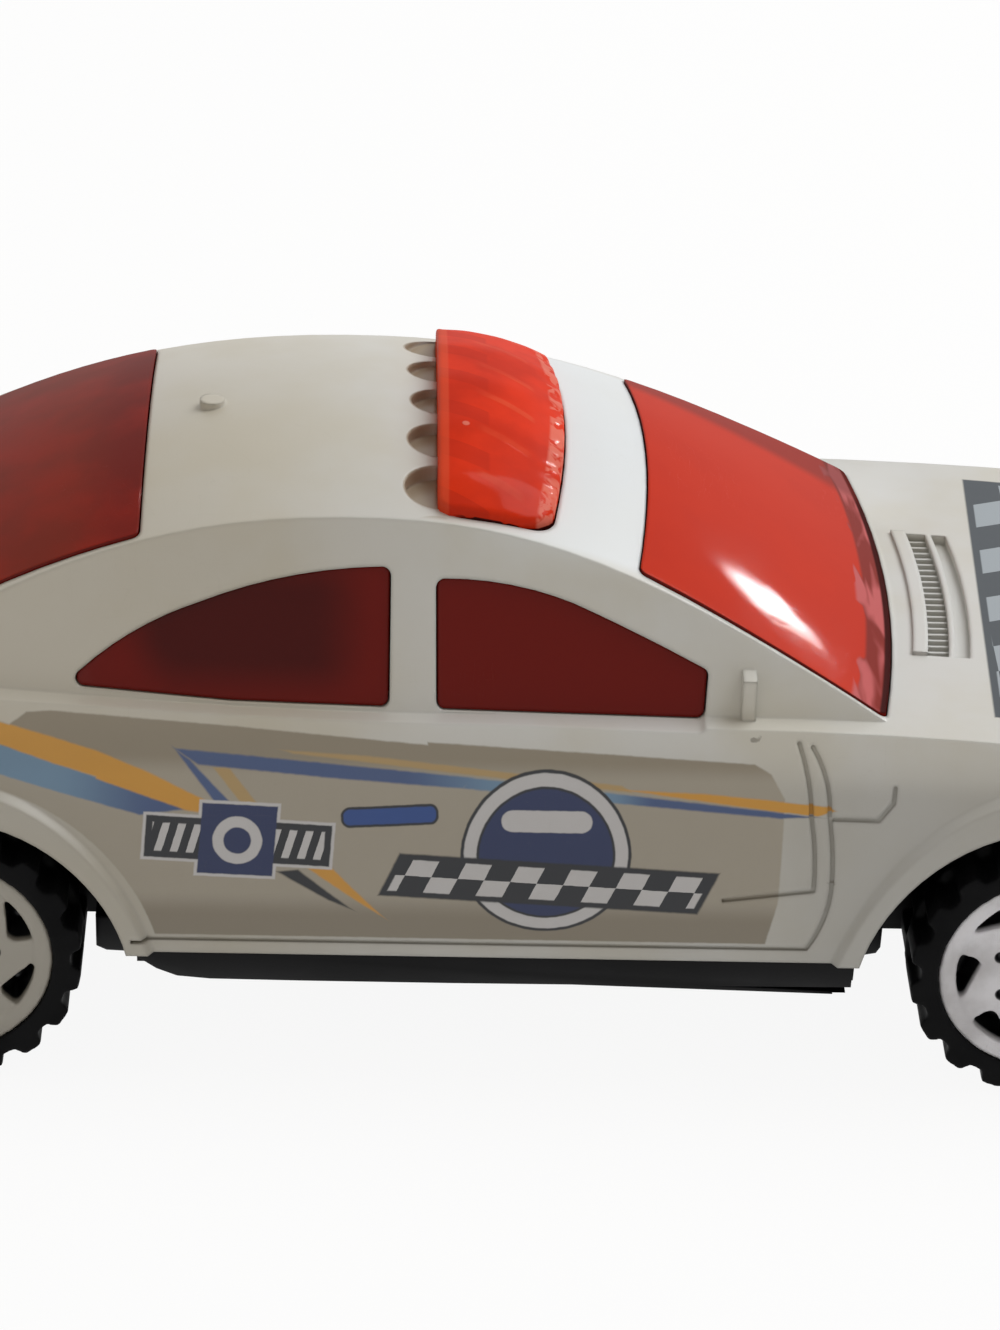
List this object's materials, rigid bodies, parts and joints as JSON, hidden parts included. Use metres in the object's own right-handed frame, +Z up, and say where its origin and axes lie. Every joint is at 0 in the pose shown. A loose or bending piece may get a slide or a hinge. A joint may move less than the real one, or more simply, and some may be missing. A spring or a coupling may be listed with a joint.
{
  "type": "toy police car",
  "caption": "Small die-cast toy police car with a painted casting, a clear red window moulding and light bar, a seat moulding, a black base and rolling wheels on wire axles.",
  "frame": {"origin": "on the ground under the middle of the car, half way between nose and tail and half way across", "axes": "+X towards the nose, +Y the car's left-hand side, +Z up"},
  "size_m": [0.075, 0.0286, 0.0241],
  "materials": {
    "body_paint": "glossy off-white enamel on a zinc casting",
    "red_glass": "clear red polystyrene",
    "seat_plastic": "dark moulded plastic",
    "base_plastic": "black moulded plastic",
    "axle_steel": "drawn wire",
    "tyre_rubber": "matt black plastic tyre",
    "hub_silver": "satin silver"
  },
  "bodies": {
    "car": {"body_shell": "body_paint", "window_insert": "red_glass", "interior": "seat_plastic", "chassis": "base_plastic"},
    "front_axle": {"front_axle": "axle_steel"},
    "rear_axle": {"rear_axle": "axle_steel"},
    "front_left_wheel": {"front_left_tyre": "tyre_rubber", "front_left_hub": "hub_silver"},
    "front_right_wheel": {"front_right_tyre": "tyre_rubber", "front_right_hub": "hub_silver"},
    "rear_left_wheel": {"rear_left_tyre": "tyre_rubber", "rear_left_hub": "hub_silver"},
    "rear_right_wheel": {"rear_right_tyre": "tyre_rubber", "rear_right_hub": "hub_silver"}
  },
  "joints": [
    {"name": "front_axle_spin", "type": "hinge", "parent": "car", "child": "front_axle", "pos_m": [0.0215, 0, 0.00537], "axis": [0, 1, 0], "continuous": true},
    {"name": "rear_axle_spin", "type": "hinge", "parent": "car", "child": "rear_axle", "pos_m": [-0.0215, 0, 0.00537], "axis": [0, 1, 0], "continuous": true},
    {"name": "front_left_wheel_spin", "type": "hinge", "parent": "front_axle", "child": "front_left_wheel", "pos_m": [0.0215, 0.012, 0.00537], "axis": [0, 1, 0], "continuous": true},
    {"name": "front_right_wheel_spin", "type": "hinge", "parent": "front_axle", "child": "front_right_wheel", "pos_m": [0.0215, -0.012, 0.00537], "axis": [0, 1, 0], "continuous": true},
    {"name": "rear_left_wheel_spin", "type": "hinge", "parent": "rear_axle", "child": "rear_left_wheel", "pos_m": [-0.0215, 0.012, 0.00537], "axis": [0, 1, 0], "continuous": true},
    {"name": "rear_right_wheel_spin", "type": "hinge", "parent": "rear_axle", "child": "rear_right_wheel", "pos_m": [-0.0215, -0.012, 0.00537], "axis": [0, 1, 0], "continuous": true}
  ]
}
